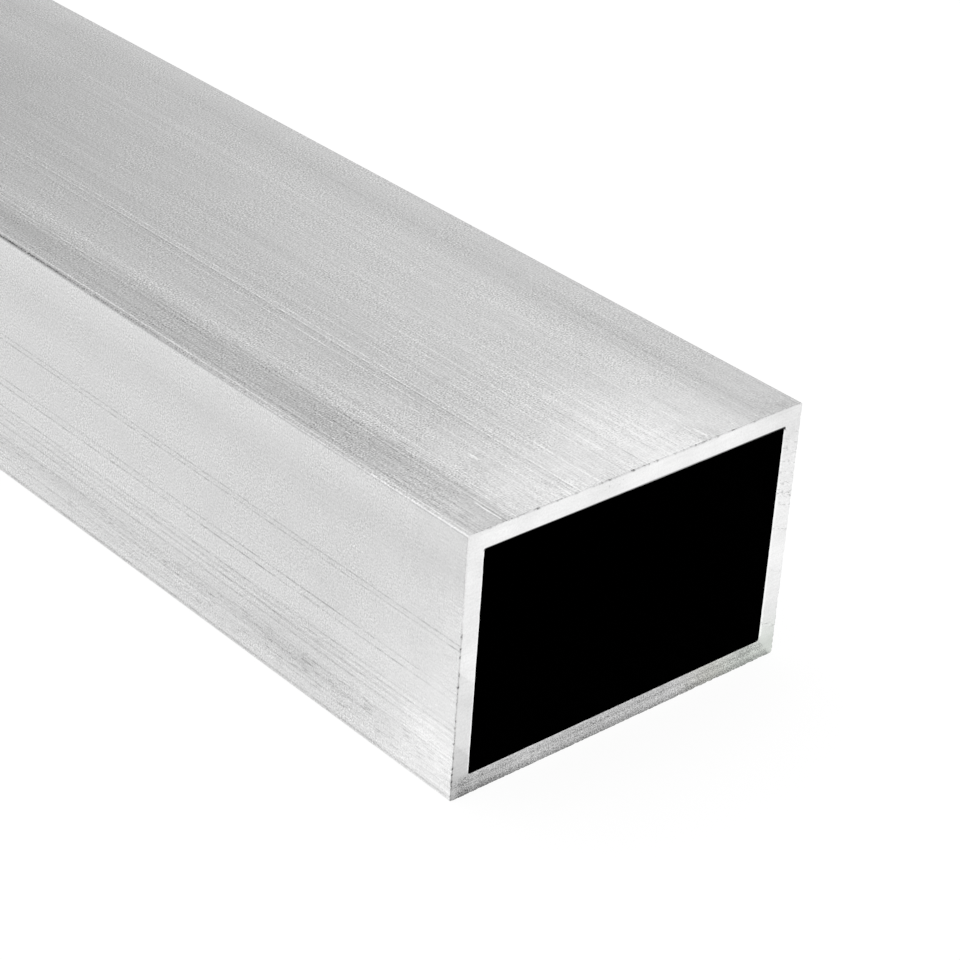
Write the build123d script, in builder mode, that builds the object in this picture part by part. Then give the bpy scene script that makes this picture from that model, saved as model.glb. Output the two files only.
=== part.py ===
from build123d import *
import os

# Rectangular aluminium tube: one length of extruded hollow section, sawn square at both ends.
# It lies on its wide side. The origin is on the floor under its middle, +Y runs along it and +Z is up.
# All sizes are in millimetres.

# Driving dimensions
width = 60.0  # outside, across the wide side
height = 40.0  # outside, from the floor up
wall = 3.0  # the same on all four sides
length = 1000.0  # from one sawn end to the other
outer_corner_radius = 0.25  # left by the die along the four long edges outside
inner_corner_radius = 0.35  # left by the die along the four long edges inside
outer_deburr = 0.1  # bevel that a file leaves round the outside of each sawn end
inner_deburr = 0.15  # bevel that a scraper leaves round the mouth of each sawn end

# Sizes that follow
bore_width = width - 2 * wall
bore_height = height - 2 * wall
far_end = Plane(origin=(0, length / 2, height / 2), x_dir=(1, 0, 0), z_dir=(0, -1, 0))


# The tube, extruded from its far end to its near end
with BuildPart() as tube:
    with BuildSketch(far_end) as section:
        RectangleRounded(width, height, outer_corner_radius)
        RectangleRounded(bore_width, bore_height, inner_corner_radius, mode=Mode.SUBTRACT)
    extrude(amount=length)

    # Each saw cut leaves a sharp rim, which is bevelled a little outside and a little more inside
    sawn_ends = tube.faces().filter_by(Axis.Y)
    outer_rims = [sawn_end.outer_wire().edges() for sawn_end in sawn_ends]
    mouth_rims = [sawn_end.inner_wires()[0].edges() for sawn_end in sawn_ends]
    chamfer(outer_rims, length=outer_deburr)
    chamfer(mouth_rims, length=inner_deburr)

tube.part.label = "tube"

os.makedirs("parts", exist_ok=True)
export_step(tube.part, "parts/tube.step")
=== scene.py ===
import math

import bpy
from mathutils import Matrix, Vector


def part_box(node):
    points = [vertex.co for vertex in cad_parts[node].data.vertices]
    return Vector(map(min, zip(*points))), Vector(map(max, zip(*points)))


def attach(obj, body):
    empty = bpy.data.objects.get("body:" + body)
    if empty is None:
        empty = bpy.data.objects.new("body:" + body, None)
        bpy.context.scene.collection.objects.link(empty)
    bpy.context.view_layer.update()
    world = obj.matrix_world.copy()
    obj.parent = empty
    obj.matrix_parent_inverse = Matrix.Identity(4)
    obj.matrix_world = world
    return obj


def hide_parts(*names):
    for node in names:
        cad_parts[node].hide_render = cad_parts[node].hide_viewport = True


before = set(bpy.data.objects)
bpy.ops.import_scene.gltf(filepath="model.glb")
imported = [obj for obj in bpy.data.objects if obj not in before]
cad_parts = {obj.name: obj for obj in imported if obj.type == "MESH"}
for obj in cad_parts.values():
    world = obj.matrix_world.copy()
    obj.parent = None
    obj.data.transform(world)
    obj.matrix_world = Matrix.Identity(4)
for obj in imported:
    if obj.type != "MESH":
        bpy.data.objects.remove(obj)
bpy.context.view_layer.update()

# One length of rectangular aluminium tube in mill finish, sawn at both ends and lying on its wide side.
# It lies along Y with its near sawn end at -Y. Lengths are in metres, and MM writes a fine one.
MM = 0.001

# The tube's sizes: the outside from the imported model, and the rest as in the part's source
tube_low, tube_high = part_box("tube")
WIDTH = tube_high.x - tube_low.x
HEIGHT = tube_high.z - tube_low.z
LENGTH = tube_high.y - tube_low.y
WALL = 3 * MM
OUTER_CORNER = 0.25 * MM
INNER_CORNER = 0.35 * MM
GIRTH = 2 * (WIDTH + HEIGHT)

# How finely the wall is divided
STEP_AROUND = 0.2 * MM
ROWS_ALONG_SKIN = 14
ROWS_ALONG_BORE = 4
ROWS_BY_RIM = 4
ROWS_ON_BEVEL = 2
ROWS_ACROSS_SAWN_FACE = 14

# What the saw, the file and the scraper left at each end
RIM_ZONE = 3 * MM  # the stretch beside each rim that is divided finely
OUTER_BEVEL = (0.02 * MM, 0.16 * MM)  # smallest and largest width
MOUTH_BEVEL = (0.12 * MM, 0.15 * MM)
OUTER_WAVES = 2.4 / MM  # how quickly a rim's raggedness changes along it
MOUTH_WAVES = 0.6 / MM
SAW_DEPTH = 0.05 * MM
SAW_WAVES = Vector((0.05, 0, 1.6)) / MM  # the marks run across the end, over half a millimetre apart

# The attributes that say where a point lies on the unrolled wall and in which zone, and the map to bake on
UNROLLED = "unrolled"
ZONE = "zone"
BAKE_MAP = "OFBake"


def over_top(x):
    """The place round the skin that lies x millimetres from the left edge of the top."""
    return x * MM


def down_right(drop):
    """The place round the skin that lies drop millimetres below the right edge of the top."""
    return WIDTH + drop * MM


def under(x):
    """The place round the skin that lies x millimetres from the right edge of the underside."""
    return WIDTH + HEIGHT + x * MM


def down_left(drop):
    """The place round the skin that lies drop millimetres below the left edge of the top."""
    return GIRTH - drop * MM


class DieLineOrPaintedEdge:
    """A fine line round the skin, left by the die or painted as edge light or shade. half_width is in
    millimetres.

    It brightens the skin where its shade is above nought, and darkens it where it is below. The shade may
    change along the tube, from `shade` by each sawn end to `inner_shade` at FADE from it.
    """

    def __init__(self, place, half_width, shade, inner_shade=None):
        self.place = place
        self.half_width = half_width * MM
        self.shade = shade
        self.inner_shade = shade if inner_shade is None else inner_shade

    def groove_depth(self):
        """A dark line that runs the whole length is a real groove, deeper the darker it is."""
        if self.shade >= 0 or self.inner_shade >= 0:
            return 0.0
        return -min(self.shade, self.inner_shade) * GROOVE_DEPTH


FADE = 100 * MM
GROOVE_DEPTH = 0.10 * MM  # for a shade of -1
DIE_LINES_AND_PAINTED_EDGES = [
    # The front long edge, top side: a painted highlight by each end, turning into a painted dark reflection
    # inwards
    DieLineOrPaintedEdge(over_top(-0.02), 0.30, 0.32, -0.30),
    DieLineOrPaintedEdge(over_top(-0.05), 0.60, 0.00, -0.36),
    DieLineOrPaintedEdge(over_top(0.7), 0.28, 0.20, 0.21),
    DieLineOrPaintedEdge(over_top(1.5), 0.30, -0.16, -0.08),
    DieLineOrPaintedEdge(over_top(2.7), 0.22, -0.04),
    DieLineOrPaintedEdge(over_top(5.7), 0.20, -0.05),
    DieLineOrPaintedEdge(over_top(6.1), 0.18, -0.10, 0.15),
    DieLineOrPaintedEdge(over_top(6.45), 0.20, -0.18, -0.08),
    DieLineOrPaintedEdge(over_top(6.8), 0.20, 0.02, 0.20),
    DieLineOrPaintedEdge(over_top(7.2), 0.24, -0.13, -0.09),
    DieLineOrPaintedEdge(over_top(7.75), 0.20, 0.09),
    DieLineOrPaintedEdge(over_top(8.15), 0.20, 0.08, -0.02),
    DieLineOrPaintedEdge(over_top(8.65), 0.22, -0.06),
    DieLineOrPaintedEdge(over_top(9.1), 0.20, 0.00, 0.11),
    DieLineOrPaintedEdge(over_top(9.5), 0.34, 0.04, 0.06),
    DieLineOrPaintedEdge(over_top(10.8), 0.20, -0.05),
    DieLineOrPaintedEdge(over_top(12.7), 0.22, -0.09),
    DieLineOrPaintedEdge(over_top(13.8), 0.22, 0.05),
    DieLineOrPaintedEdge(over_top(14.3), 0.20, -0.07),
    DieLineOrPaintedEdge(over_top(15.5), 0.36, 0.08, 0.03),
    DieLineOrPaintedEdge(over_top(16.25), 0.20, -0.09, -0.03),
    DieLineOrPaintedEdge(over_top(17.1), 0.18, -0.08),
    DieLineOrPaintedEdge(over_top(17.45), 0.21, 0.11, 0.12),
    DieLineOrPaintedEdge(over_top(18.2), 0.23, -0.09, -0.07),
    DieLineOrPaintedEdge(over_top(18.8), 0.21, -0.17, -0.19),
    DieLineOrPaintedEdge(over_top(19.15), 0.20, 0.10, 0.19),
    DieLineOrPaintedEdge(over_top(20.0), 0.20, 0.06, 0.26),
    DieLineOrPaintedEdge(over_top(20.8), 0.20, 0.09, 0.04),
    DieLineOrPaintedEdge(over_top(21.4), 0.22, -0.05),
    DieLineOrPaintedEdge(over_top(22.7), 0.23, 0.20, 0.00),
    DieLineOrPaintedEdge(over_top(23.4), 0.21, -0.08),
    DieLineOrPaintedEdge(over_top(24.4), 0.21, 0.08),
    DieLineOrPaintedEdge(over_top(24.9), 0.20, -0.06, 0.00),
    DieLineOrPaintedEdge(over_top(27.05), 0.20, 0.08),
    DieLineOrPaintedEdge(over_top(27.4), 0.20, -0.14, -0.01),
    DieLineOrPaintedEdge(over_top(28.7), 0.23, 0.10, 0.08),
    DieLineOrPaintedEdge(over_top(29.9), 0.22, -0.05),
    DieLineOrPaintedEdge(over_top(30.9), 0.22, -0.07),
    DieLineOrPaintedEdge(over_top(32.6), 0.22, 0.08, 0.00),
    DieLineOrPaintedEdge(over_top(34.3), 0.21, -0.09, -0.02),
    DieLineOrPaintedEdge(over_top(35.3), 0.21, 0.07, 0.04),
    DieLineOrPaintedEdge(over_top(36.4), 0.22, -0.06, 0.00),
    DieLineOrPaintedEdge(over_top(36.9), 0.20, 0.08, 0.02),
    DieLineOrPaintedEdge(over_top(37.55), 0.20, -0.11, 0.00),
    DieLineOrPaintedEdge(over_top(37.9), 0.20, 0.07, 0.00),
    DieLineOrPaintedEdge(over_top(41.5), 0.30, -0.05),
    DieLineOrPaintedEdge(over_top(42.5), 0.25, 0.10, 0.04),
    DieLineOrPaintedEdge(over_top(44.2), 0.22, -0.05),
    DieLineOrPaintedEdge(over_top(45.5), 0.24, 0.02, 0.09),
    DieLineOrPaintedEdge(over_top(46.6), 0.23, -0.03, -0.07),
    DieLineOrPaintedEdge(over_top(47.4), 0.24, -0.09, 0.00),
    DieLineOrPaintedEdge(over_top(49.2), 0.22, 0.05),
    DieLineOrPaintedEdge(over_top(50.9), 0.24, -0.09, -0.03),
    DieLineOrPaintedEdge(over_top(52.2), 0.26, 0.11, 0.03),
    DieLineOrPaintedEdge(over_top(53.1), 0.25, -0.03, -0.10),
    DieLineOrPaintedEdge(over_top(54.3), 0.22, -0.05),
    DieLineOrPaintedEdge(over_top(55.6), 0.30, 0.08, 0.00),
    DieLineOrPaintedEdge(over_top(59.2), 0.40, -0.09, -0.03),
    # The same painted highlight and painted dark reflection on the left wall's side of the front long edge
    DieLineOrPaintedEdge(down_left(0.02), 0.30, 0.32, -0.30),
    DieLineOrPaintedEdge(down_left(0.05), 0.60, 0.00, -0.36),
    DieLineOrPaintedEdge(down_left(0.3), 0.20, -0.15, -0.10),
    DieLineOrPaintedEdge(down_left(0.9), 0.28, 0.00, 0.04),
    DieLineOrPaintedEdge(down_left(16.2), 0.20, -0.23, -0.16),
    DieLineOrPaintedEdge(down_left(17.05), 0.20, -0.14, -0.21),
    DieLineOrPaintedEdge(down_left(17.45), 0.20, 0.06, 0.02),
    DieLineOrPaintedEdge(down_left(23.6), 0.20, -0.15, -0.18),
    DieLineOrPaintedEdge(down_left(24.8), 0.20, -0.13, -0.21),
    DieLineOrPaintedEdge(down_left(25.3), 0.22, 0.03, 0.06),
    DieLineOrPaintedEdge(down_left(27.8), 0.22, 0.04),
    DieLineOrPaintedEdge(down_left(28.4), 0.20, -0.10, -0.22),
    DieLineOrPaintedEdge(down_left(28.85), 0.20, 0.03),
    DieLineOrPaintedEdge(down_left(29.3), 0.24, -0.21, -0.07),
    DieLineOrPaintedEdge(down_left(29.8), 0.20, 0.12, 0.00),
    DieLineOrPaintedEdge(down_left(30.3), 0.20, -0.12, -0.17),
    DieLineOrPaintedEdge(down_left(30.75), 0.22, 0.12, 0.06),
    DieLineOrPaintedEdge(down_left(31.6), 0.22, -0.12, -0.14),
    DieLineOrPaintedEdge(down_left(32.3), 0.26, 0.02, 0.06),
    DieLineOrPaintedEdge(down_left(33.2), 0.22, -0.02, 0.09),
    DieLineOrPaintedEdge(down_left(33.75), 0.22, -0.10, -0.16),
    DieLineOrPaintedEdge(down_left(34.5), 0.20, -0.06),
    DieLineOrPaintedEdge(down_left(34.95), 0.20, 0.06, 0.02),
    DieLineOrPaintedEdge(down_left(35.5), 0.20, -0.03, -0.06),
    DieLineOrPaintedEdge(down_left(36.0), 0.24, 0.07),
    DieLineOrPaintedEdge(down_left(37.0), 0.24, -0.09, -0.03),
    DieLineOrPaintedEdge(down_left(37.9), 0.24, -0.04),
    DieLineOrPaintedEdge(down_left(38.7), 0.26, 0.09, 0.04),
    # Painted shade along the foot of the left wall, mirroring the tube's shadow on the floor; also a shallow
    # groove
    DieLineOrPaintedEdge(down_left(39.45), 0.36, -0.14, -0.17),
    DieLineOrPaintedEdge(down_right(9.0), 0.23, -0.14),
    DieLineOrPaintedEdge(down_right(21.4), 0.21, -0.13),
    DieLineOrPaintedEdge(down_right(22.2), 0.20, 0.10),
    DieLineOrPaintedEdge(down_right(30.2), 0.25, -0.16),
    DieLineOrPaintedEdge(under(14.0), 0.25, -0.16),
    DieLineOrPaintedEdge(under(15.1), 0.20, 0.11),
    DieLineOrPaintedEdge(under(37.5), 0.23, -0.14),
    DieLineOrPaintedEdge(under(46.1), 0.21, -0.13),
]


class Scratch:
    """A short line that stands out by the near sawn end, from `start` to `stop` beyond it.

    half_width, start and stop are in millimetres.
    """

    def __init__(self, place, half_width, start, stop, shade):
        self.place = place
        self.half_width = half_width * MM
        self.start = start * MM
        self.stop = stop * MM
        self.shade = shade


SCRATCHES = [
    Scratch(over_top(0.7), 0.28, 26, 64, 0.14),
    Scratch(over_top(1.4), 0.22, 28, 44, -0.08),
    Scratch(over_top(6.1), 0.20, 1.2, 5.4, 0.52),
    Scratch(over_top(6.45), 0.20, 16, 26, -0.12),
    Scratch(over_top(7.8), 0.30, 18.8, 20.6, 0.22),
    Scratch(over_top(13.7), 0.34, 14.0, 15.0, 0.25),
    Scratch(over_top(12.2), 0.30, 36.0, 37.2, 0.14),
    Scratch(over_top(17.4), 0.18, 33, 60, 0.08),
    Scratch(over_top(19.1), 0.20, 20, 62, 0.07),
    Scratch(over_top(19.9), 0.20, 38, 64, 0.10),
    Scratch(over_top(22.8), 0.22, 0, 12, 0.07),
    Scratch(over_top(23.2), 0.30, 37.6, 38.8, 0.16),
    Scratch(over_top(28.7), 0.40, 6.5, 9.2, 0.16),
    Scratch(over_top(29.5), 0.30, 4, 20, -0.08),
    Scratch(over_top(30.9), 0.24, 2, 18, -0.09),
    Scratch(over_top(34.8), 0.22, 2, 30, -0.08),
    Scratch(over_top(37.8), 0.20, 33, 47, -0.10),
    Scratch(over_top(41.8), 0.25, 3.4, 4.4, 0.18),
    Scratch(over_top(42.7), 0.32, 1.4, 3.2, 0.30),
    Scratch(over_top(44.6), 0.60, 7, 13, -0.06),
    Scratch(over_top(52.9), 0.26, 17, 40, -0.07),
    Scratch(over_top(53.4), 0.24, 1, 14, -0.12),
    Scratch(down_left(17.0), 0.20, 0, 2, -0.18),
    Scratch(down_left(18.8), 0.50, 0.8, 3.0, -0.08),
    Scratch(down_left(23.6), 0.22, 25, 36, -0.12),
    Scratch(down_left(24.8), 0.18, 11, 18.3, -0.14),
    Scratch(down_left(24.6), 0.22, 28, 31, -0.16),
    Scratch(down_left(24.8), 0.18, 38, 53.2, -0.18),
    Scratch(down_left(28.35), 0.20, 17, 26, -0.12),
    Scratch(down_left(28.4), 0.20, 44, 56, -0.10),
    Scratch(down_left(30.3), 0.18, 36, 52, -0.08),
    Scratch(down_left(31.6), 0.20, 19, 36, -0.04),
    Scratch(down_left(34.4), 0.18, 3.5, 5.4, -0.16),
    Scratch(down_left(34.6), 0.20, 28, 44, -0.10),
    Scratch(down_left(35.3), 0.18, 18, 22, -0.12),
    Scratch(down_left(37.4), 0.18, 15, 24, -0.08),
]


class Wire:
    """A socket in a node tree. Python's operators work on it.

    Each operator adds a Math node, or a Vector Math node where one of its values is a vector.
    """

    def __init__(self, nodes, socket):
        self.nodes = nodes
        self.socket = socket

    def math(self, operation, *values):
        return self.nodes.add("ShaderNodeMath", {"operation": operation}, dict(enumerate(values)))

    def vector_math(self, operation, *values):
        return self.nodes.add("ShaderNodeVectorMath", {"operation": operation}, dict(enumerate(values)))

    def is_vector(self):
        return self.socket.type in ("VECTOR", "RGBA")

    def pick(self, operation, *values):
        if any(isinstance(value, Wire) and value.is_vector() for value in values):
            return self.vector_math(operation, *values)
        return self.math(operation, *values)

    def __add__(self, other):
        return self.pick("ADD", self, other)

    def __radd__(self, other):
        return self.pick("ADD", other, self)

    def __sub__(self, other):
        return self.pick("SUBTRACT", self, other)

    def __rsub__(self, other):
        return self.pick("SUBTRACT", other, self)

    def __mul__(self, other):
        return self.pick("MULTIPLY", self, other)

    def __rmul__(self, other):
        return self.pick("MULTIPLY", other, self)

    def __truediv__(self, other):
        return self.pick("DIVIDE", self, other)

    def __rtruediv__(self, other):
        return self.pick("DIVIDE", other, self)

    def __pow__(self, other):
        return self.math("POWER", self, other)

    def __abs__(self):
        return self.math("ABSOLUTE", self)

    def sign(self):
        return self.math("SIGN", self)

    def between(self, low, high):
        return self.math("MINIMUM", self.math("MAXIMUM", self, low), high)

    def rise(self, low, high):
        """0 below low, 1 above high, and smooth from one to the other. High may be the lower number."""
        settings = {"interpolation_type": "SMOOTHSTEP", "clamp": False}
        return self.nodes.add("ShaderNodeMapRange", settings, {0: self, 1: low, 2: high, 3: 0.0, 4: 1.0})

    def towards(self, other, share):
        return self + (other - self) * share

    def split(self):
        node = self.nodes.tree.nodes.new("ShaderNodeSeparateXYZ")
        self.nodes.tree.links.new(self.socket, node.inputs[0])
        return [Wire(self.nodes, socket) for socket in node.outputs]


class Nodes:
    """The nodes of one tree. add() makes a node: its settings first, then its sockets' values or wires."""

    def __init__(self, tree):
        self.tree = tree
        tree.nodes.clear()

    def add(self, kind, settings=None, inputs=None, output=0):
        node = self.tree.nodes.new(kind)
        for name, value in (settings or {}).items():
            if name == "stops":
                self.set_stops(node.color_ramp, value)
            else:
                setattr(node, name, value)
        for key, value in (inputs or {}).items():
            self.feed(node.inputs[key], value)
        return Wire(self, node.outputs[output]) if len(node.outputs) else node

    def feed(self, socket, value):
        if isinstance(value, Wire):
            self.tree.links.new(value.socket, socket)
        elif isinstance(value, (list, tuple)) and isinstance(value[0], Wire):
            for wire in value:
                self.tree.links.new(wire.socket, socket)
        elif socket.type == "VECTOR" and isinstance(value, (int, float)):
            socket.default_value = (value, value, value)
        else:
            socket.default_value = value

    def set_stops(self, ramp, stops):
        while len(ramp.elements) > 1:
            ramp.elements.remove(ramp.elements[-1])
        for index, (position, level) in enumerate(stops):
            element = ramp.elements[0] if index == 0 else ramp.elements.new(position)
            element.position = position
            element.color = (level, level, level, 1)

    def vector(self, x, y, z):
        return self.add("ShaderNodeCombineXYZ", None, {0: x, 1: y, 2: z})

    def noise(self, place, waves=1.0, detail=0.0, roughness=0.5):
        """Smooth noise about a half, `waves` times to the unit of place. waves may be a vector."""
        inputs = {"Vector": place * waves, "Scale": 1.0, "Detail": detail, "Roughness": roughness}
        return self.add("ShaderNodeTexNoise", {"noise_dimensions": "3D"}, inputs)


def bell(where, middle, half_width):
    """1 at the middle, and smoothly down to 0 at half_width from it."""
    return abs(where - middle).rise(half_width, 0.0)


# The wall's shape

def new_geometry_tree(name, inputs):
    """An empty geometry tree with one geometry output and named inputs, given as name: (type, default)."""
    tree = bpy.data.node_groups.new(name, "GeometryNodeTree")
    for input_name, (kind, default) in inputs.items():
        socket = tree.interface.new_socket(input_name, in_out="INPUT", socket_type=kind)
        if default is not None:
            socket.default_value = default
    tree.interface.new_socket("Geometry", in_out="OUTPUT", socket_type="NodeSocketGeometry")
    nodes = Nodes(tree)
    group_input = tree.nodes.new("NodeGroupInput")
    wires = {input_name: Wire(nodes, group_input.outputs[input_name]) for input_name in inputs}
    return tree, nodes, wires


TUBE_INPUTS = {
    "Width": ("NodeSocketFloat", WIDTH),
    "Height": ("NodeSocketFloat", HEIGHT),
    "Length": ("NodeSocketFloat", LENGTH),
    "Wall": ("NodeSocketFloat", WALL),
    "Outer Corner": ("NodeSocketFloat", OUTER_CORNER),
    "Inner Corner": ("NodeSocketFloat", INNER_CORNER),
    "Steps Around": ("NodeSocketInt", round(GIRTH / STEP_AROUND)),
}
BAND_INPUTS = {
    **TUBE_INPUTS,
    "Rows": ("NodeSocketInt", 1),
    "From Inset": ("NodeSocketFloat", 0.0),
    "From Depth": ("NodeSocketFloat", 0.0),
    "To Inset": ("NodeSocketFloat", 0.0),
    "To Depth": ("NodeSocketFloat", 0.0),
    "End": ("NodeSocketFloat", -1.0),
    "Zone": ("NodeSocketInt", 0),
    "Map Low": ("NodeSocketVector", (0, 0, 0)),
    "Map High": ("NodeSocketVector", (1, 1, 0)),
}
SKIN, SAWN, BORE = 0, 1, 2
SMALLEST_INSET = 0.02 * MM  # a band that starts or ends this deep has none of the die's grooves
MERGE_DISTANCE = 0.002 * MM
SHARP_ANGLE = math.radians(28)
NEAR_SEED = 3.0
FAR_SEED = 11.0
MOUTH_SEED_STEP = 5.0


def die_groove_depth(place):
    """How deep the die's marks are at a place round the skin."""
    depth = 0.0
    for mark in DIE_LINES_AND_PAINTED_EDGES:
        if mark.groove_depth():
            depth = depth + bell(place, mark.place, mark.half_width) * mark.groove_depth()
    return depth


def section_point(nodes, size, around, inset):
    """X and Z, from the section's middle, of the point that lies `around` the skin and `inset` below it."""
    width, height = size["Width"], size["Height"]
    along_top = around.between(0.0, width)
    down_right_side = (around - width).between(0.0, height)
    along_underside = (around - width - height).between(0.0, width)
    up_left_side = (around - width * 2 - height).between(0.0, height)
    x = along_top - along_underside - width * 0.5
    z = height * 0.5 - down_right_side + up_left_side
    half_width = width * 0.5 - inset
    half_height = height * 0.5 - inset
    x = x * half_width / (width * 0.5)
    z = z * half_height / (height * 0.5)
    radius = size["Outer Corner"].towards(size["Inner Corner"], inset / size["Wall"])
    centre_x = x.between(radius - half_width, half_width - radius)
    centre_z = z.between(radius - half_height, half_height - radius)
    reach = ((x - centre_x) ** 2 + (z - centre_z) ** 2) ** 0.5
    return centre_x + (x - centre_x) * radius / reach, centre_z + (z - centre_z) * radius / reach


def store(nodes, mesh, name, value, data_type, domain):
    """Keeps a value on the mesh as a named attribute."""
    inputs = {"Geometry": mesh, "Name": name, "Value": value}
    return nodes.add("GeometryNodeStoreNamedAttribute", {"data_type": data_type, "domain": domain}, inputs)


def make_band_tree():
    """A band of the wall's surface that closes round the section, from one inset and depth to another.

    Inset is measured from the skin towards the bore, and depth along the tube from one end. That is the near
    end where End is -1, and the far end where it is 1.
    """
    tree, nodes, size = new_geometry_tree("wall_band", BAND_INPUTS)
    grid_inputs = {
        "Size X": 1.0,
        "Size Y": 1.0,
        "Vertices X": size["Steps Around"] + 1,
        "Vertices Y": size["Rows"] + 1,
    }
    grid = nodes.add("GeometryNodeMeshGrid", None, grid_inputs)
    share_around, share_across, _ = (nodes.add("GeometryNodeInputPosition") + Vector((0.5, 0.5, 0))).split()
    girth = (size["Width"] + size["Height"]) * 2
    around = share_around * girth
    skin_share = size["From Inset"].rise(SMALLEST_INSET, 0.0) * size["To Inset"].rise(SMALLEST_INSET, 0.0)
    groove = die_groove_depth(around) * skin_share
    inset = size["From Inset"].towards(size["To Inset"], share_across) + groove
    depth = size["From Depth"].towards(size["To Depth"], share_across)
    x, z = section_point(nodes, size, around, inset)
    y = size["End"] * (size["Length"] * 0.5 - depth)
    along = y + size["Length"] * 0.5
    map_share = nodes.vector(share_around, share_across, 0.0)
    map_place = size["Map Low"].towards(size["Map High"], map_share)

    band = store(nodes, grid, BAKE_MAP, map_place, "FLOAT2", "CORNER")
    band = store(nodes, band, UNROLLED, nodes.vector(around, along, inset), "FLOAT_VECTOR", "CORNER")
    band = store(nodes, band, ZONE, size["Zone"], "INT", "FACE")
    band_place = nodes.vector(x, y, z + size["Height"] * 0.5)
    band = nodes.add("GeometryNodeSetPosition", None, {"Geometry": band, "Position": band_place})
    less_than = {"data_type": "FLOAT", "operation": "LESS_THAN"}
    is_near = nodes.add("FunctionNodeCompare", less_than, {0: size["End"], 1: 0.0})
    band = nodes.add("GeometryNodeFlipFaces", None, {"Mesh": band, "Selection": is_near})
    nodes.add("NodeGroupOutput", None, {"Geometry": band})
    return tree


def ragged_width(nodes, limits, waves, seed):
    """A bevel's width, which wanders round the rim between two limits."""
    share_around = (nodes.add("GeometryNodeInputPosition") + Vector((0.5, 0.5, 0))).split()[0]
    angle = share_around * math.tau
    radius = GIRTH / math.tau
    cosine = angle.math("COSINE", angle)
    sine = angle.math("SINE", angle)
    place = nodes.vector(cosine * radius, sine * radius, seed * MM)
    wander = nodes.noise(place, waves, detail=2.0).rise(0.42, 0.72)
    low, high = limits
    return wander * (high - low) + low


class MapLayout:
    """Where each zone of the wall goes on the bake map. The skin gets most of it.

    A sawn end's bevels and its flat face share its area, parted at two shares of its height.
    """

    skin = ((0.010, 0.010, 0), (0.880, 0.915, 0))
    bore = ((0.900, 0.010, 0), (0.990, 0.915, 0))
    near_end = ((0.010, 0.925, 0), (0.880, 0.955, 0))
    far_end = ((0.010, 0.965, 0), (0.880, 0.995, 0))
    outer_bevel_stop = 0.06
    mouth_bevel_start = 0.9


def part_of_map(area, start, stop):
    """The part of a map area that lies between two shares of its height."""
    (left, low, _), (right, high, _) = area
    height = high - low
    return {"Map Low": (left, low + height * start, 0), "Map High": (right, low + height * stop, 0)}


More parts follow.
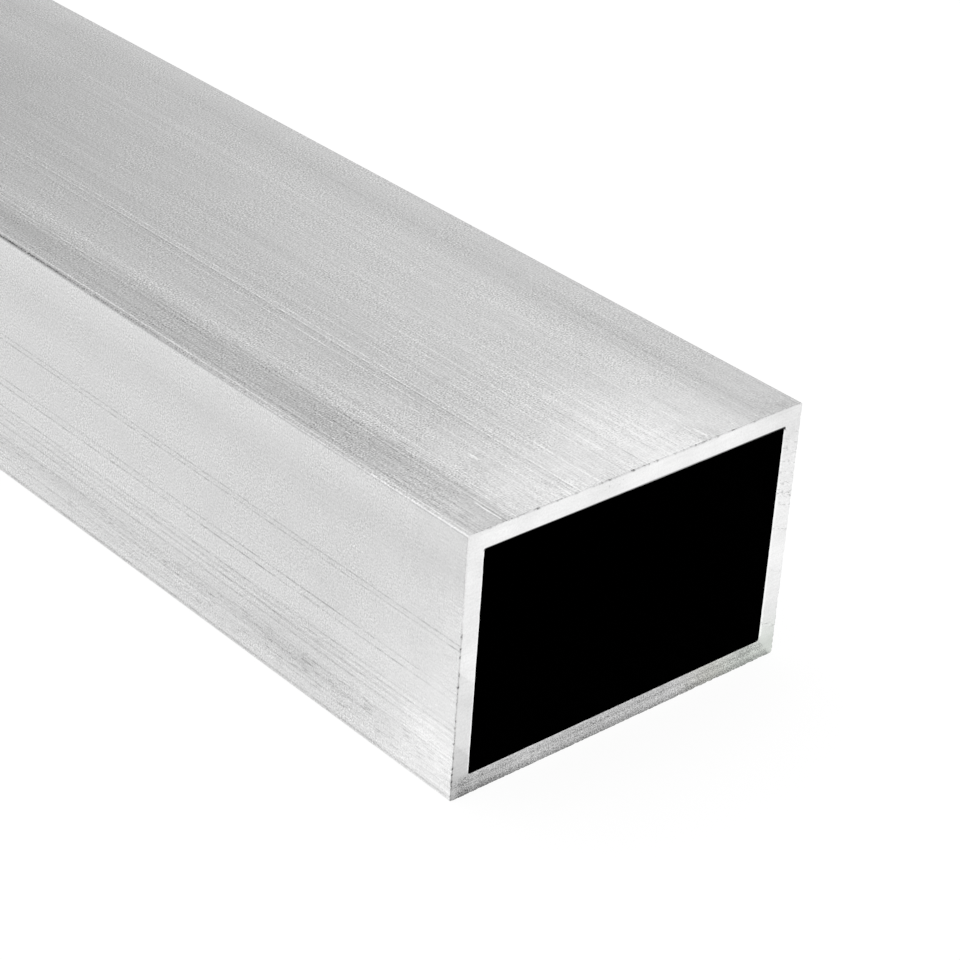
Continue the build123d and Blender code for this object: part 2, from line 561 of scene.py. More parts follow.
def make_tube_tree():
    """The whole tube: a closed wall along the skin, over each sawn end and back through the bore."""
    materials = {
        "Skin Finish": ("NodeSocketMaterial", None),
        "Sawn Finish": ("NodeSocketMaterial", None),
        "Bore Finish": ("NodeSocketMaterial", None),
    }
    tree, nodes, size = new_geometry_tree("extruded_tube", {**TUBE_INPUTS, **materials})
    band_tree = make_band_tree()

    def band(rows, zone, start, stop, end, map_inputs):
        settings = {"node_tree": band_tree}
        inputs = {name: size[name] for name in TUBE_INPUTS}
        inputs.update({"Rows": rows, "Zone": zone, "End": end, **map_inputs})
        inputs.update({"From Inset": start[0], "From Depth": start[1]})
        inputs.update({"To Inset": stop[0], "To Depth": stop[1]})
        return nodes.add("GeometryNodeGroup", settings, inputs)

    wall = size["Wall"]
    zone_share = RIM_ZONE / LENGTH
    far_depth = size["Length"] - RIM_ZONE
    bands = [
        band(ROWS_ALONG_SKIN, SKIN, (0.0, RIM_ZONE), (0.0, far_depth), -1.0,
             part_of_map(MapLayout.skin, zone_share, 1 - zone_share)),
        band(ROWS_ALONG_BORE, BORE, (wall, far_depth), (wall, RIM_ZONE), -1.0,
             part_of_map(MapLayout.bore, 1 - zone_share, zone_share)),
    ]
    ends = ((-1.0, NEAR_SEED, MapLayout.near_end), (1.0, FAR_SEED, MapLayout.far_end))
    for end, seed, end_map in ends:
        outer = ragged_width(nodes, OUTER_BEVEL, OUTER_WAVES, seed)
        mouth = ragged_width(nodes, MOUTH_BEVEL, MOUTH_WAVES, seed + MOUTH_SEED_STEP)
        outer_map = part_of_map(end_map, 0.0, MapLayout.outer_bevel_stop)
        face_map = part_of_map(end_map, MapLayout.outer_bevel_stop, MapLayout.mouth_bevel_start)
        mouth_map = part_of_map(end_map, MapLayout.mouth_bevel_start, 1.0)
        side = (zone_share, 0.0) if end < 0 else (1 - zone_share, 1.0)
        bands += [
            band(ROWS_BY_RIM, SKIN, (0.0, RIM_ZONE), (0.0, outer), end, part_of_map(MapLayout.skin, *side)),
            band(ROWS_ON_BEVEL, SAWN, (0.0, outer), (outer, 0.0), end, outer_map),
            band(ROWS_ACROSS_SAWN_FACE, SAWN, (outer, 0.0), (wall - mouth, 0.0), end, face_map),
            band(ROWS_ON_BEVEL, SAWN, (wall - mouth, 0.0), (wall, mouth), end, mouth_map),
            band(ROWS_ON_BEVEL, BORE, (wall, mouth), (wall, RIM_ZONE), end,
                 part_of_map(MapLayout.bore, side[1], side[0])),
        ]
    tube = nodes.add("GeometryNodeJoinGeometry", None, {0: bands[::-1]})
    tube = nodes.add("GeometryNodeMergeByDistance", None, {"Geometry": tube, "Distance": MERGE_DISTANCE})
    tube = add_saw_marks(nodes, tube)
    smooth_inputs = {"Geometry": tube, "Shade Smooth": True}
    tube = nodes.add("GeometryNodeSetShadeSmooth", {"domain": "FACE"}, smooth_inputs)
    edge_angle = nodes.add("GeometryNodeInputMeshEdgeAngle")
    greater_than = {"data_type": "FLOAT", "operation": "GREATER_THAN"}
    is_sharp = nodes.add("FunctionNodeCompare", greater_than, {0: edge_angle, 1: SHARP_ANGLE})
    sharp_inputs = {"Geometry": tube, "Selection": is_sharp, "Shade Smooth": False}
    tube = nodes.add("GeometryNodeSetShadeSmooth", {"domain": "EDGE"}, sharp_inputs)
    tube = nodes.add("GeometryNodeRealizeInstances", None, {"Geometry": tube})
    for zone, finish in ((SKIN, "Skin Finish"), (SAWN, "Sawn Finish"), (BORE, "Bore Finish")):
        material_inputs = {"Geometry": tube, "Selection": in_zone(nodes, zone), "Material": size[finish]}
        tube = nodes.add("GeometryNodeSetMaterial", None, material_inputs)
    nodes.add("NodeGroupOutput", None, {"Geometry": tube})
    return tree


def in_zone(nodes, zone):
    """Picks the faces of one zone: skin, sawn face or bore."""
    value = nodes.add("GeometryNodeInputNamedAttribute", {"data_type": "INT"}, {"Name": ZONE})
    return nodes.add("FunctionNodeCompare", {"data_type": "INT", "operation": "EQUAL"}, {2: value, 3: zone})


def add_saw_marks(nodes, tube):
    """Presses the saw's marks into both sawn faces, only ever inwards."""
    place = nodes.add("GeometryNodeInputPosition")
    end = place.split()[1].sign()
    depth = nodes.noise(place, SAW_WAVES, detail=2.0, roughness=0.6).rise(0.35, 0.7) * SAW_DEPTH
    inputs = {
        "Geometry": tube,
        "Selection": in_zone(nodes, SAWN),
        "Offset": nodes.vector(0.0, depth * end * -1.0, 0.0),
    }
    return nodes.add("GeometryNodeSetPosition", None, inputs)


# Finishes

def new_finish(name):
    """An empty material and its nodes."""
    material = bpy.data.materials.new(name)
    material.use_nodes = True
    return material, Nodes(material.node_tree)


def finish_surface(nodes, inputs, normal_from=None):
    """Ends a finish in a Principled shader. normal_from is a height and the depth that it stands for."""
    if normal_from:
        height, depth = normal_from
        bump_inputs = {"Height": height, "Strength": 1.0, "Distance": depth}
        inputs["Normal"] = nodes.add("ShaderNodeBump", None, bump_inputs)
    shader = nodes.add("ShaderNodeBsdfPrincipled", None, inputs)
    nodes.add("ShaderNodeOutputMaterial", None, {"Surface": shader})


def grey(nodes, level):
    return nodes.vector(level, level, level)


# How bright the skin is round the section, far from the ends: place, level
# Most of the top is set darker than the sides: painted shade for how the light falls on it
SKIN_LEVELS = [
    (over_top(0.0), 0.525),
    (over_top(1.5), 0.515),
    (over_top(3.0), 0.465),
    (over_top(5.0), 0.46),
    (over_top(7.0), 0.51),
    (over_top(9.0), 0.565),
    (over_top(12.0), 0.52),
    (over_top(28.0), 0.52),
    (over_top(38.0), 0.54),
    (over_top(44.0), 0.585),
    (over_top(52.0), 0.59),
    (over_top(55.5), 0.615),
    (over_top(59.0), 0.675),
    (down_right(2.0), 0.64),
    (down_right(18.0), 0.61),
    (down_right(33.0), 0.65),
    (under(2.0), 0.62),
    (under(24.0), 0.57),
    (under(40.0), 0.61),
    (under(57.0), 0.60),
    (down_left(38.5), 0.675),
    (down_left(36.5), 0.66),
    (down_left(35.0), 0.625),
    (down_left(32.5), 0.64),
    (down_left(27.0), 0.675),
    (down_left(19.0), 0.65),
    (down_left(12.0), 0.655),
    (down_left(6.5), 0.615),
    (down_left(3.0), 0.655),
    (down_left(0.0), 0.665),
]
# How much brighter it is by each sawn end, dying away slowly over SLOW_GLOW: place, level
# Partly painted light, standing for the lamp's highlight by the end, and partly burnish
SLOW_GLOW = 150 * MM
SLOW_GLOW_LEVELS = [
    (over_top(0.0), 0.05),
    (over_top(4.0), 0.08),
    (over_top(8.0), 0.09),
    (over_top(12.0), 0.15),
    (over_top(17.0), 0.10),
    (over_top(34.0), 0.21),
    (over_top(42.0), 0.14),
    (over_top(48.0), 0.15),
    (over_top(52.0), 0.04),
    (over_top(59.0), 0.00),
    (down_left(10.0), 0.00),
    (down_left(2.0), 0.02),
]
# And how much brighter still in the last END_GLOW: place, level
# Partly painted light by the end, and partly burnish, as above
END_GLOW = 30 * MM
END_GLOW_LEVELS = [
    (over_top(0.0), 0.08),
    (over_top(4.0), 0.11),
    (over_top(7.0), 0.06),
    (over_top(12.0), 0.15),
    (over_top(16.0), 0.19),
    (over_top(20.0), 0.17),
    (over_top(26.0), 0.15),
    (over_top(33.0), 0.20),
    (over_top(39.0), 0.16),
    (over_top(46.0), 0.07),
    (over_top(53.0), 0.02),
    (over_top(58.0), 0.00),
    (down_right(14.0), 0.15),
    (under(18.0), 0.12),
    (under(44.0), 0.12),
    (down_left(38.0), 0.14),
    (down_left(33.0), 0.19),
    (down_left(28.0), 0.12),
    (down_left(21.0), 0.06),
    (down_left(11.0), 0.03),
    (down_left(6.0), 0.00),
    (down_left(0.0), 0.00),
]
# How strongly the die streaked the skin round the section: place, strength
STREAK_LEVELS = [
    (over_top(0.0), 0.72),
    (over_top(9.0), 0.72),
    (over_top(11.0), 0.36),
    (over_top(48.0), 0.36),
    (over_top(52.0), 0.22),
    (down_right(5.0), 0.25),
    (down_right(24.0), 0.60),
    (under(5.0), 0.40),
    (under(30.0), 0.75),
    (under(50.0), 0.50),
    (down_left(39.0), 0.20),
    (down_left(37.4), 0.60),
    (down_left(33.6), 0.60),
    (down_left(32.6), 0.22),
    (down_left(31.6), 0.42),
    (down_left(28.4), 0.42),
    (down_left(27.4), 0.15),
    (down_left(20.0), 0.12),
    (down_left(1.0), 0.15),
]
# How strong the grain is round the section: place, strength
GRAIN_LEVELS = [
    (over_top(0.0), 1.12),
    (over_top(9.0), 1.12),
    (over_top(12.0), 0.95),
    (over_top(56.0), 0.90),
    (down_right(4.0), 0.65),
    (under(4.0), 0.80),
    (under(56.0), 0.80),
    (down_left(36.0), 0.70),
    (down_left(26.0), 0.62),
    (down_left(4.0), 0.60),
]
# How strongly nicks and a painted shade line mark each end's outer rim, on the skin's side: place, strength
SKIN_RIM_LEVELS = [
    (over_top(2.0), 0.40),
    (over_top(9.0), 0.60),
    (over_top(11.5), 1.40),
    (over_top(16.0), 1.30),
    (over_top(19.0), 0.60),
    (over_top(26.0), 0.70),
    (over_top(27.5), 1.40),
    (over_top(34.0), 1.30),
    (over_top(37.0), 0.70),
    (over_top(40.0), 1.20),
    (over_top(47.0), 1.00),
    (over_top(51.0), 0.40),
    (down_right(20.0), 0.30),
    (under(30.0), 0.60),
    (down_left(39.0), 0.15),
    (down_left(16.0), 0.20),
    (down_left(4.0), 0.40),
]
# The same on the sawn face's side
SAWN_RIM_LEVELS = [
    (over_top(2.0), 0.30),
    (over_top(10.0), 0.70),
    (over_top(46.0), 0.70),
    (over_top(52.0), 0.30),
    (down_right(20.0), 0.30),
    (under(30.0), 0.30),
    (down_left(39.0), 0.50),
    (down_left(36.0), 1.00),
    (down_left(14.0), 0.90),
    (down_left(9.0), 0.35),
]


class Smudge:
    """A soft patch of broken strokes by each saw cut, darker where its gain is below nought.

    half_width, half_length and middle, its distance from the saw cut, are in millimetres.
    """

    def __init__(self, place, half_width, middle, half_length, gain):
        self.place = place
        self.half_width = half_width * MM
        self.middle = middle * MM
        self.half_length = half_length * MM
        self.gain = gain


SMUDGES = [
    Smudge(over_top(53.4), 2.8, 26.0, 24.0, -0.015),
    Smudge(over_top(57.0), 4.5, 1.0, 5.0, -0.06),
    Smudge(over_top(43.0), 3.0, 1.0, 6.0, -0.09),
    Smudge(over_top(25.0), 2.5, 0.0, 4.0, -0.05),
    Smudge(over_top(13.0), 4.0, 13.0, 8.0, -0.06),
    Smudge(over_top(15.0), 4.0, 31.0, 12.0, 0.04),
    Smudge(over_top(16.0), 5.0, 1.0, 4.0, 0.08),
    Smudge(down_left(35.6), 2.2, 34.5, 13.0, -0.06),
    Smudge(down_right(30.0), 4.0, 20.0, 20.0, -0.06),
    Smudge(under(20.0), 6.0, 16.0, 14.0, -0.06),
]

SKIN_LEVEL = 1.022  # what the skin's levels are multiplied by, to suit the lamp
SAWN_LEVEL = 0.864  # how bright a sawn face is where nothing marks it
# How bright the bore's painted black is at most
BORE_SHADE_LEVEL = 0.0006
BUMP_DEPTH = 0.02 * MM
SCRATCH_FADE = 0.6 * MM  # how far beyond its ends a scratch fades away
LINES_BREAK_UP = (85 * MM, 140 * MM)  # the stretch from each end over which the die's lines grow fainter

# How quickly the noises of the skin change, in waves round the section and along the tube
FINE_STREAKS = Vector((2.8, 0.020, 0)) / MM
BROAD_STREAKS = Vector((0.45, 0.006, 0)) / MM
DASHES = Vector((3.8, 0.38, 0)) / MM
STROKES = Vector((3.3, 0.60, 0)) / MM
STRAYS = Vector((2.6, 0.7, 0)) / MM
LINE_WEAR = Vector((0.9, 0.07, 0)) / MM
LINE_GAPS = Vector((1.3, 0.50, 0)) / MM

# And those that change across, along and up
SMUDGE_STROKES = Vector((2.4, 0.5, 2.4)) / MM
BLADE_MARKS = Vector((0.10, 0.0, 2.2)) / MM
CHATTER_DASHES = Vector((1.2, 0.0, 3.4)) / MM
PITS = Vector((1.6, 0.0, 2.4)) / MM
SAWN_CLOUDS = Vector((0.16, 0.0, 0.22)) / MM
# The noise in the bore's painted black
BORE_SHADE_WAVES = Vector((0.4, 0.02, 0.4)) / MM


def ramp(nodes, around, stops):
    """A level that goes smoothly through the stops round the section."""
    stops = [(place / GIRTH, level) for place, level in stops]
    return nodes.add("ShaderNodeValToRGB", {"stops": stops}, {"Fac": around / GIRTH}).split()[0]


def die_line_and_painted_edge_shade(nodes, around, along, to_end):
    """How much die marks and painted edge light and shade brighten the skin, above nought, or darken it,
    below.
    """
    inwards = (to_end / FADE).between(0.0, 1.0)
    shade = 0.0
    for mark in DIE_LINES_AND_PAINTED_EDGES:
        strength = mark.shade
        if mark.inner_shade != mark.shade:
            strength = inwards * (mark.inner_shade - mark.shade) + mark.shade
        shade = shade + bell(around, mark.place, mark.half_width) * strength
    for scratch in SCRATCHES:
        stretch = along.rise(scratch.start - SCRATCH_FADE, scratch.start)
        stretch = stretch * along.rise(scratch.stop + SCRATCH_FADE, scratch.stop)
        shade = shade + bell(around, scratch.place, scratch.half_width) * stretch * scratch.shade
    unrolled_place = nodes.vector(around, along, 0.0)
    wear = nodes.noise(unrolled_place, LINE_WEAR, detail=2.0, roughness=0.7)
    gaps = nodes.noise(unrolled_place, LINE_GAPS, detail=1.0, roughness=0.7)
    broken = (gaps.rise(0.36, 0.64) * 0.9 + 0.55) * (1.0 - to_end.rise(*LINES_BREAK_UP) * 0.4)

    # The painted dark reflection down the long edge in front isn't broken
    off_edge = abs(around - GIRTH / 2).rise(GIRTH / 2 - 0.5 * MM, GIRTH / 2 - 1.0 * MM)
    return shade * (wear * 1.3 + 0.45) * ((broken - 1.0) * off_edge + 1.0)


def smudge_shade(nodes, around, place, to_end):
    """How much the smudges brighten the skin, above nought, or darken it, below."""
    broken = nodes.noise(place, SMUDGE_STROKES, detail=2.0, roughness=0.7).rise(0.35, 0.65)
    smudges = 0.0
    for smudge in SMUDGES:
        patch = bell(around, smudge.place, smudge.half_width)
        patch = patch * bell(to_end, smudge.middle, smudge.half_length)
        smudges = smudges + patch * smudge.gain
    return smudges * (broken * 1.6 + 0.2)


def mill_skin():
    """Mill-finished skin: broad bands and fine lines along it from the die, and a fine grain all over."""
    material, nodes = new_finish("mill_skin")
    unrolled = nodes.add("ShaderNodeAttribute", {"attribute_name": UNROLLED}, output="Vector")
    around, along, _ = unrolled.split()
    place = nodes.add("ShaderNodeTexCoord", output="Object")
    to_end = LENGTH / 2 - abs(along - LENGTH / 2)

    clouds = nodes.noise(place, 0.11 / MM, detail=2.0)
    patches = nodes.noise(place, 0.28 / MM, detail=2.0, roughness=0.6) - 0.5
    # The brightening by each sawn end: partly painted light, partly burnish
    end_glow = ramp(nodes, around, END_GLOW_LEVELS) * to_end.rise(END_GLOW, 0.0) * (0.45 + clouds * 1.1)
    slow_glow = ramp(nodes, around, SLOW_GLOW_LEVELS) * (1.0 - to_end / SLOW_GLOW).between(0.0, 1.0)
    rim_glow = bell(around, down_left(16), 15 * MM) * to_end.rise(8 * MM, 0.0) * 0.055
    level = ramp(nodes, around, SKIN_LEVELS) + end_glow + rim_glow + slow_glow
    level = level + smudge_shade(nodes, around, place, to_end)

    # Where marks change in strength: round 32 mm from each end, by it, far from it, and by it on the left
    near_end = bell(to_end, 32 * MM, 45 * MM)
    last = to_end.rise(22 * MM, 2 * MM)
    far = to_end.rise(45 * MM, 85 * MM)
    left_last = bell(around, down_left(27), 17 * MM) * last

    # Streaks and dashes along the tube
    streak_place = nodes.vector(around, along, 0.0)
    fine = nodes.noise(streak_place, FINE_STREAKS, detail=2.0, roughness=0.7) - 0.5
    broad = nodes.noise(streak_place, BROAD_STREAKS, detail=1.0) - 0.5
    dashes = nodes.noise(streak_place, DASHES, detail=1.0, roughness=0.6).rise(0.56, 0.68)
    low_left = bell(around, down_left(31), 11 * MM)
    dash_band = bell(around, down_left(35.3), 4 * MM)
    streaks = fine * (0.85 + near_end * 0.30) + broad * (0.16 - low_left * 0.09)
    streaks = streaks - dashes * (0.12 + near_end * 0.14 + dash_band * 0.26)
    streaks = streaks * ramp(nodes, around, STREAK_LEVELS) * (1.0 - left_last * 0.50)

    # The grain: fine spots all over, and strokes along the tube that are stronger by the ends
    strokes = nodes.noise(streak_place, STROKES, detail=1.0, roughness=0.6) - 0.5
    grain = nodes.noise(place, 4.0 / MM) - 0.5
    grain = grain * (1.1 - last * 0.50 + far * 0.15) + strokes * (0.20 + last * 0.25)
    quiet = nodes.noise(place, 0.16 / MM, detail=1.0).rise(0.60, 0.38)
    grain = grain * ramp(nodes, around, GRAIN_LEVELS) * (1.15 - quiet * 0.40) * (1.0 - left_last * 0.35)
    specks = nodes.noise(place, 1.7 / MM).rise(0.78, 0.82)
    strays = nodes.noise(streak_place, STRAYS, detail=1.0)
    scuffs = strays.rise(0.70, 0.78) * last * 0.15 - strays.rise(0.31, 0.25) * left_last * 0.16

    shade = die_line_and_painted_edge_shade(nodes, around, along, to_end) * (1.0 - left_last * 0.45)
    haze = (clouds - 0.5) * 0.05 + patches * (0.03 + near_end * 0.05)
    level = level * (1.0 + streaks + shade + haze + grain + specks * 0.14 + scuffs)
    # Nicks by the rim, and a painted shade line along it
    level = level - rim_nicks_and_shade(nodes, around, place, to_end, SKIN_RIM_LEVELS)
    roughness = 0.40 + grain * 0.2 + streaks * 0.4
    height = fine * 0.5 + grain * 0.5
    inputs = {"Base Color": grey(nodes, level * SKIN_LEVEL), "Metallic": 1.0, "Roughness": roughness}
    finish_surface(nodes, inputs, (height, BUMP_DEPTH))
    return material


# The larger nicks in the rim: place, half its width, strength
RIM_NICKS = [
    (over_top(3.6), 0.6 * MM, 0.30),
    (over_top(8.2), 0.4 * MM, 0.30),
    (over_top(11.7), 0.5 * MM, 0.80),
    (over_top(15.0), 0.3 * MM, 0.50),
    (over_top(18.3), 0.3 * MM, 0.30),
    (over_top(22.8), 0.3 * MM, 0.50),
    (over_top(28.4), 0.5 * MM, 1.00),
    (over_top(31.2), 0.3 * MM, 0.60),
    (over_top(32.7), 0.3 * MM, 0.70),
    (over_top(36.0), 0.3 * MM, 0.40),
    (over_top(41.2), 0.6 * MM, 0.50),
    (over_top(43.9), 0.4 * MM, 0.60),
    (over_top(50.8), 0.4 * MM, 0.40),
    (down_left(14.8), 0.5 * MM, 0.30),
    (down_left(16.6), 0.4 * MM, 0.40),
    (down_left(22.4), 0.3 * MM, 1.00),
    (down_left(28.6), 0.3 * MM, 0.60),
    (down_left(31.0), 0.3 * MM, 0.80),
    (down_left(32.5), 0.3 * MM, 0.40),
    (down_left(34.9), 0.3 * MM, 0.80),
    (down_left(37.0), 0.3 * MM, 0.80),
]


def rim_nicks_and_shade(nodes, around, place, from_rim, levels):
    """Darkening beside an outer rim: a hairline of painted shade, and nicks that the saw and the file left.
    """
    stretches = nodes.noise(place, 0.25 / MM, detail=1.0).rise(0.40, 0.60)
    hairline = from_rim.rise(0.26 * MM, 0.06 * MM) * (0.13 + stretches * 0.16)
    nicks = nodes.noise(place, 1.1 / MM, detail=2.0, roughness=0.8).rise(0.53, 0.63)
    nicks = nicks * from_rim.rise(0.32 * MM, 0.04 * MM) * (0.28 + stretches * 0.50)
    large = 0.0
    for middle, half_width, strength in RIM_NICKS:
        large = large + bell(around, middle, half_width) * strength
    large = large * from_rim.rise(0.34 * MM, 0.08 * MM) * 0.52
    return (hairline + nicks * 0.6) * ramp(nodes, around, levels) + large


# Where the blade chattered on the right wall's sawn face: height, half its height, strength
CHATTER = [
    (36.2 * MM, 0.5 * MM, 0.5),
    (34.6 * MM, 0.4 * MM, 0.5),
    (33.3 * MM, 0.6 * MM, 0.7),
    (31.4 * MM, 0.4 * MM, 0.6),
    (29.6 * MM, 0.4 * MM, 0.7),
    (28.0 * MM, 0.6 * MM, 0.7),
    (26.4 * MM, 0.9 * MM, 1.2),
    (24.6 * MM, 0.5 * MM, 0.6),
    (20.8 * MM, 0.5 * MM, 0.8),
    (14.0 * MM, 0.4 * MM, 0.4),
    (5.3 * MM, 0.6 * MM, 1.0),
]
CHATTER_SLANT = 0.4  # how far the blade's marks there drop for each step to the right


def chatter_marks(nodes, x, z, on_right):
    """The dark dashes and the bright flecks that the chattering blade left on the right wall's sawn face."""
    slanted = z + (x - WIDTH / 2 + WALL / 2) * CHATTER_SLANT
    chatter = bell(z, 29 * MM, 13 * MM) * 0.22
    for middle, half_height, strength in CHATTER:
        chatter = chatter + bell(slanted, middle, half_height) * strength
    slanted_place = nodes.vector(x, 0.0, slanted)
    dashes = nodes.noise(slanted_place, CHATTER_DASHES, detail=2.0, roughness=0.7)
    return dashes.rise(0.50, 0.62) * chatter * on_right, dashes.rise(0.46, 0.36) * chatter * on_right


def sawn_face():
    """The bright saw cut: smooth above, duller and grainy along the bottom, with the blade's marks on it."""
    material, nodes = new_finish("sawn_face")
    place = nodes.add("ShaderNodeTexCoord", output="Object")
    unrolled = nodes.add("ShaderNodeAttribute", {"attribute_name": UNROLLED}, output="Vector")
    x, _, z = place.split()
    around, _, inset = unrolled.split()

    marks = nodes.noise(place, BLADE_MARKS, detail=2.0, roughness=0.6) - 0.5
    grain = nodes.noise(place, 3.2 / MM, detail=1.0, roughness=0.8) - 0.5
    pits = nodes.noise(place, PITS, detail=2.0, roughness=0.8).rise(0.56, 0.72)
    clouds = nodes.noise(place, SAWN_CLOUDS, detail=2.0) - 0.5
    on_right = x.rise(24 * MM, 27 * MM)
    dashes, flecks = chatter_marks(nodes, x, z, on_right)

    # Darker and rougher downwards, in two slanting steps on the left wall: painted shade, and a duller
    # finish
    on_left = x.rise(-26.0 * MM, -27.2 * MM)
    from_left = x + WIDTH / 2
    upper_step = (z + from_left * 0.9).rise(20.0 * MM, 19.6 * MM) * on_left
    lower_step = (z + from_left * 1.1).rise(9.4 * MM, 8.9 * MM) * on_left
    dull_and_shaded = z.rise(18 * MM, 8 * MM) * (1.0 - on_left) * 0.07 + upper_step * 0.10 + lower_step * 0.10
    dull_and_shaded = dull_and_shaded + z.rise(9 * MM, 1.0 * MM) * (0.19 - x.rise(-24 * MM, -27 * MM) * 0.10 - on_right * 0.06)
    dull_and_shaded = dull_and_shaded - bell(z, 16 * MM, 9 * MM) * on_right * 0.02
    corner = x.rise(16 * MM, 29 * MM) * z.rise(27 * MM, 38 * MM)

    # The bottom wall, darker and grainier, with painted shade along its foot and a line scored along it
    clean_left = x.rise(-28.3 * MM, -29.5 * MM)
    low_edge = z + (x - WIDTH / 2 + WALL).between(0.0, WALL) * 1.15
    low = low_edge.rise(WALL + 0.6 * MM, WALL - 0.5 * MM) * (1.0 - clean_left * 0.5)
    foot = z.rise(1.6 * MM, 0.05 * MM) * 0.22
    foot = foot + z.rise(1.2 * MM, 0.2 * MM) * x.rise(-10 * MM, -26 * MM) * 0.07
    foot = foot + z.rise(2.8 * MM, 1.4 * MM) * x.rise(-18 * MM, -26 * MM) * 0.09
    score = bell(z, 1.95 * MM, 0.34 * MM) * x.rise(29 * MM, 26 * MM) * 0.10
    score = score + z.rise(1.8 * MM, 2.1 * MM) * low * 0.045

    # Painted highlight down the mouth's sides and painted shade along its top, and a scrape above it
    mouth_highlight = inset.rise(WALL - 0.4 * MM, WALL - 0.1 * MM) * abs(x).rise(25 * MM, 27 * MM)
    mouth_highlight = mouth_highlight * z.rise(WALL + 0.2 * MM, WALL + 1.2 * MM)
    lip_shade_spread = 1.0 - bell(x, 5 * MM, 24 * MM) * 0.36
    top_lip_shade = inset.rise(WALL - 0.34 * MM, WALL - 0.14 * MM)
    top_lip_shade = top_lip_shade * z.rise(HEIGHT - WALL - 0.5 * MM, HEIGHT - WALL) * lip_shade_spread
    top_lip_shade = top_lip_shade * abs(x).rise(27.3 * MM, 27.1 * MM)
    scrape = bell(x, -4.5 * MM, 4.5 * MM) * bell(z, 39.0 * MM, 0.9 * MM) * pits

    level = 1.0 + marks * 0.15 + clouds * 0.26 + grain * 0.26 - dashes * 0.32 + flecks * 0.09
    level = level - scrape * 0.45
    level = level - bell(z, 34 * MM, 4 * MM) * on_left * 0.035
    # Painted shade downwards and along the foot, a darker top-right corner, and the scored line
    level = level - dull_and_shaded - corner * 0.08 - foot * low - score
    low_grain = nodes.noise(place, 5.5 / MM, detail=1.0, roughness=0.8) - 0.5
    low_pits = nodes.noise(place, 4.2 / MM, detail=1.0, roughness=0.7).rise(0.58, 0.70)
    # The bottom wall darker: partly painted shade where it mirrors the tube's shadow on the floor, with its
    # grain and pits
    level = level - low * (0.115 - low_grain * 1.65 - marks * 0.12 + pits * 0.08 + low_pits * 0.20)
    # The painted highlight down the mouth's sides
    level = level + mouth_highlight * (0.12 + x.rise(0.0, -25 * MM) * 0.10 + dull_and_shaded * 1.2)
    # Nicks by the rim, and a painted shade line along it
    level = level - rim_nicks_and_shade(nodes, around, place, inset, SAWN_RIM_LEVELS)
    # The painted shade along the mouth's top
    level = level * (1.0 - top_lip_shade)
    roughness = 0.30 + dull_and_shaded * 0.4 + grain * 0.1

    # A faint tint along the bottom: cream right of the middle, and green towards the right corner
    low_tint = z.rise(9 * MM, 1 * MM)
    cream = bell(x, 17 * MM, 7 * MM) * low_tint
    green = x.rise(15 * MM, 25 * MM) * low_tint
    tint = nodes.vector(1.0 - green * 0.045, 1.0, 1.0 - green * 0.055 - cream * 0.05)
    colour = grey(nodes, level * SAWN_LEVEL) * tint
    inputs = {"Base Color": colour, "Metallic": 1.0, "Roughness": roughness}
    finish_surface(nodes, inputs, (marks * 0.5 + grain * (0.2 + low), BUMP_DEPTH))
    return material


def dark_bore():
    """The bore, which the photograph shows as plain black: painted shade for the dark inside of the tube."""
    material, nodes = new_finish("dark_bore")
    place = nodes.add("ShaderNodeTexCoord", output="Object")
    # Faint noise in the bore's painted black
    bore_shade = nodes.noise(place, BORE_SHADE_WAVES, detail=2.0)
    inputs = {
        "Base Color": grey(nodes, bore_shade * BORE_SHADE_LEVEL),
        "Roughness": 0.9 + bore_shade * 0.1,
        "Specular IOR Level": 0.0,
    }
    finish_surface(nodes, inputs)
    return material


def make_tube():
    """The tube as one plain mesh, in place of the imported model's own."""
    holder = bpy.data.objects.new("tube_tree_holder", bpy.data.meshes.new("tube_tree_holder"))
    bpy.context.scene.collection.objects.link(holder)
    modifier = holder.modifiers.new("extruded_tube", "NODES")
    modifier.node_group = make_tube_tree()
    values = {"Skin Finish": mill_skin(), "Sawn Finish": sawn_face(), "Bore Finish": dark_bore()}
    for item in modifier.node_group.interface.items_tree:
        if item.in_out == "INPUT" and item.name in values:
            modifier[item.identifier] = values[item.name]
    depsgraph = bpy.context.evaluated_depsgraph_get()
    mesh = bpy.data.meshes.new_from_object(holder.evaluated_get(depsgraph))
    bpy.data.objects.remove(holder)
    mesh.name = "tube_stock"
    tube = bpy.data.objects.new("tube_stock", mesh)
    bpy.context.scene.collection.objects.link(tube)
    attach(tube, "root")
    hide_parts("tube")


# The studio

FLOOR_SIZE = 60.0
FLOOR_DROP = 0.03 * MM
FLOOR_GLOW = 0.90
FLOOR_COLOUR = 0.13
AMBIENT = 0.75  # how bright the world is where neither the camera nor the metal looks at it


def make_sheet(name, width, height, z=0.0):
    """A flat sheet that faces up, with its middle over the origin."""
    right, back = width / 2, height / 2
    corners = [(-right, -back, z), (right, -back, z), (right, back, z), (-right, back, z)]
    mesh = bpy.data.meshes.new(name)
    mesh.from_pydata(corners, [], [(0, 1, 2, 3)])
    sheet = bpy.data.objects.new(name, mesh)
    bpy.context.scene.collection.objects.link(sheet)
    return sheet


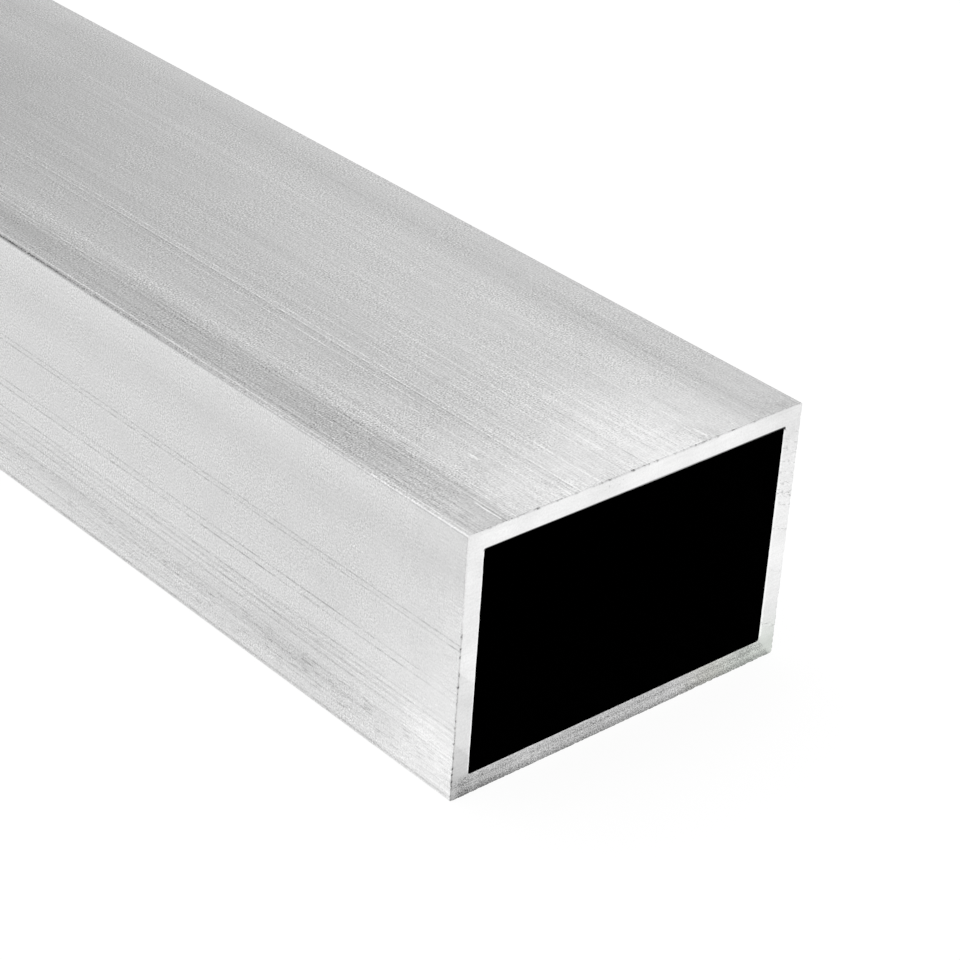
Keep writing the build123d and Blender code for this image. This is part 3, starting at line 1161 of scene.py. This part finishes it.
def make_floor():
    """A white floor that keeps a faint shadow of the tube."""
    floor = make_sheet("floor", FLOOR_SIZE, FLOOR_SIZE, -FLOOR_DROP)
    material, nodes = new_finish("studio_floor")
    diffuse = nodes.add("ShaderNodeBsdfDiffuse", None, {"Color": (FLOOR_COLOUR,) * 3 + (1,)})
    glow = nodes.add("ShaderNodeEmission", None, {"Color": (1, 1, 1, 1), "Strength": FLOOR_GLOW})
    both = nodes.add("ShaderNodeAddShader", None, {0: diffuse, 1: glow})
    nodes.add("ShaderNodeOutputMaterial", None, {"Surface": both})
    material.cycles.emission_sampling = "NONE"
    floor.data.materials.append(material)


def make_world():
    """White where the camera and the metal look, and plain soft light elsewhere."""
    world = bpy.data.worlds.new("studio")
    world.use_nodes = True
    world.cycles.sampling_method = "NONE"
    nodes = Nodes(world.node_tree)
    path = nodes.tree.nodes.new("ShaderNodeLightPath")
    camera_ray, glossy_ray, through_ray = [
        Wire(nodes, path.outputs[name]) for name in ("Is Camera Ray", "Is Glossy Ray", "Is Transmission Ray")
    ]
    looks = (camera_ray + glossy_ray + through_ray).between(0.0, 1.0)
    strength = looks * (1.0 - AMBIENT) + AMBIENT
    background = nodes.add("ShaderNodeBackground", None, {"Color": (1, 1, 1, 1), "Strength": strength})
    nodes.add("ShaderNodeOutputWorld", None, {"Surface": background})
    bpy.context.scene.world = world


def aim(thing, place, target):
    """Puts a lamp or a card at a place, facing a target."""
    thing.location = place
    thing.rotation_euler = (Vector(target) - Vector(place)).to_track_quat("-Z", "Y").to_euler()


def soft_lamp(name, place, target, size, brightness):
    """A square soft lamp. brightness is what a mirror would show of it, where the white background is 1."""
    lamp = bpy.data.lights.new(name, "AREA")
    lamp.shape = "SQUARE"
    lamp.size = size
    lamp.energy = brightness * math.pi * size * size
    item = bpy.data.objects.new(name, lamp)
    bpy.context.scene.collection.objects.link(item)
    aim(item, place, target)
    item.visible_camera = False


def grey_card(name, place, target, width, height, level):
    """A grey card that only the metal sees."""
    card = make_sheet(name, width, height)
    aim(card, place, target)
    material, nodes = new_finish(name)
    glow = nodes.add("ShaderNodeEmission", None, {"Color": (1, 1, 1, 1), "Strength": level})
    nodes.add("ShaderNodeOutputMaterial", None, {"Surface": glow})
    material.cycles.emission_sampling = "NONE"
    card.data.materials.append(material)
    card.visible_camera = False
    card.visible_diffuse = False
    card.visible_shadow = False


NEAR_END_MIDDLE = Vector((0, -LENGTH / 2, HEIGHT / 2))
SOFTBOX_PLACE = NEAR_END_MIDDLE + Vector((-0.3, 0.2, 1.6))
SOFTBOX_SIZE = 1.2
SOFTBOX_BRIGHTNESS = 1.2
CARD_PLACE = NEAR_END_MIDDLE + Vector((1.3, 1.5, 0.45))
CARD_WIDTH = 3.4
CARD_HEIGHT = 0.75
CARD_LEVEL = 0.50


def make_lights():
    """One softbox overhead, and a card behind that greys what the top mirrors."""
    soft_lamp("overhead_softbox", SOFTBOX_PLACE, NEAR_END_MIDDLE, SOFTBOX_SIZE, SOFTBOX_BRIGHTNESS)
    grey_card("back_card", CARD_PLACE, NEAR_END_MIDDLE, CARD_WIDTH, CARD_HEIGHT, CARD_LEVEL)


# The camera, which stands where the photograph's did

CAMERA_PLACE = Vector((-0.2534, -LENGTH / 2 - 0.2353, 0.2350))
CAMERA_AZIMUTH = math.radians(-40.018)
CAMERA_ELEVATION = math.radians(26.584)
CAMERA_ROLL = math.radians(2.486)
CAMERA_LENS = 114.64  # in millimetres, for a sensor as wide as SENSOR_WIDTH
SENSOR_WIDTH = 36.0
CAMERA_SHIFT = (0.1681, -0.1970)  # the photograph was cropped off its lens's middle
NEAREST_SEEN = 0.01


def make_camera():
    """A camera that shows the near end as the photograph does."""
    camera = bpy.data.cameras.new("camera")
    camera.lens = CAMERA_LENS
    camera.sensor_width = SENSOR_WIDTH
    camera.shift_x, camera.shift_y = CAMERA_SHIFT
    item = bpy.data.objects.new("camera", camera)
    bpy.context.scene.collection.objects.link(item)
    turn = Matrix.Rotation(CAMERA_AZIMUTH, 4, "Z") @ Matrix.Rotation(math.pi / 2 - CAMERA_ELEVATION, 4, "X")
    item.matrix_world = Matrix.Translation(CAMERA_PLACE) @ turn @ Matrix.Rotation(CAMERA_ROLL, 4, "Z")
    camera.clip_start = NEAREST_SEEN
    bpy.context.scene.camera = item


make_tube()
make_floor()
make_world()
make_lights()
make_camera()
bpy.context.scene.view_settings.view_transform = "Standard"
